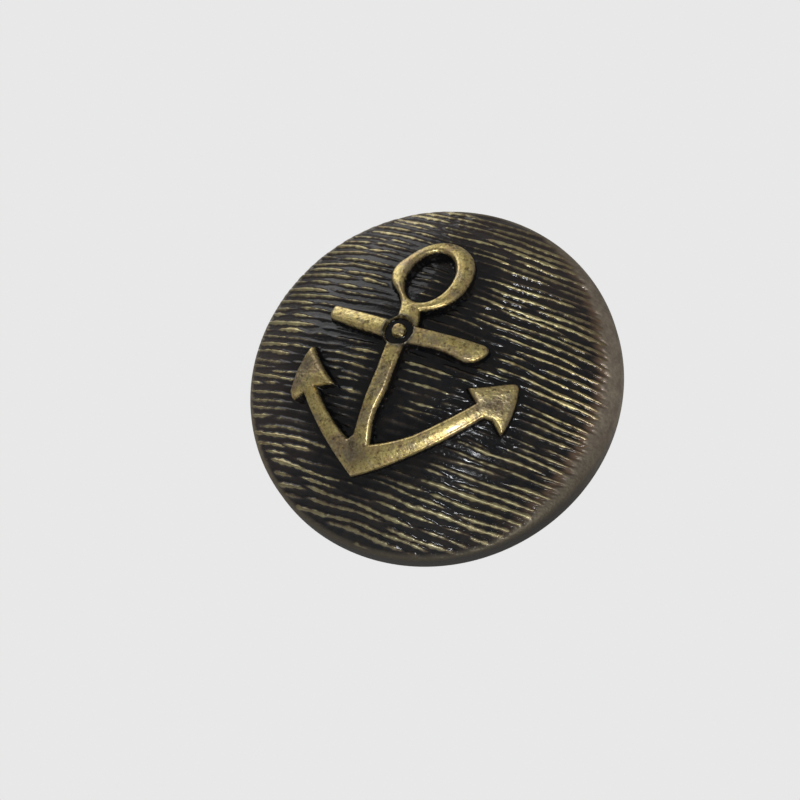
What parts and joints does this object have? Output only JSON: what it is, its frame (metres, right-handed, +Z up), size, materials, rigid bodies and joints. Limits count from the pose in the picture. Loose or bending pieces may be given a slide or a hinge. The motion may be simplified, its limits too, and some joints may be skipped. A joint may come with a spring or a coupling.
{
  "type": "shank button",
  "caption": "Round domed metal sew-on button with an anchor struck over fine waves, a crimped back shell and a swivelling wire loop shank.",
  "frame": {"origin": "middle of the wire loop's eye, on the button's axis, where the sewing thread holds it", "axes": "as worn: -Y out of the button's face, +Y towards the cloth, +Z up through the anchor's ring, +X to the right seen from the front"},
  "size_m": [0.02, 0.0124, 0.02],
  "materials": {
    "face_brass": "antique brass: near-black recesses, rubbed brass crests, satin rim",
    "back_brass": "darkened satin brass with turned marks",
    "loop_wire": "drawn wire, darkened and rubbed bright at the eye",
    "washer_steel": "plain blanked steel",
    "filler_board": "pressed grey-brown board, matt"
  },
  "bodies": {
    "button": {"front_shell": "face_brass", "filler_disc": "filler_board", "retaining_washer": "washer_steel", "back_shell": "back_brass"},
    "loop": {"shank_loop": "loop_wire"}
  },
  "joints": [
    {"name": "loop_swivel", "type": "hinge", "parent": "button", "child": "loop", "pos_m": [0, 0, 0], "axis": [0, 1, 0], "continuous": true}
  ]
}
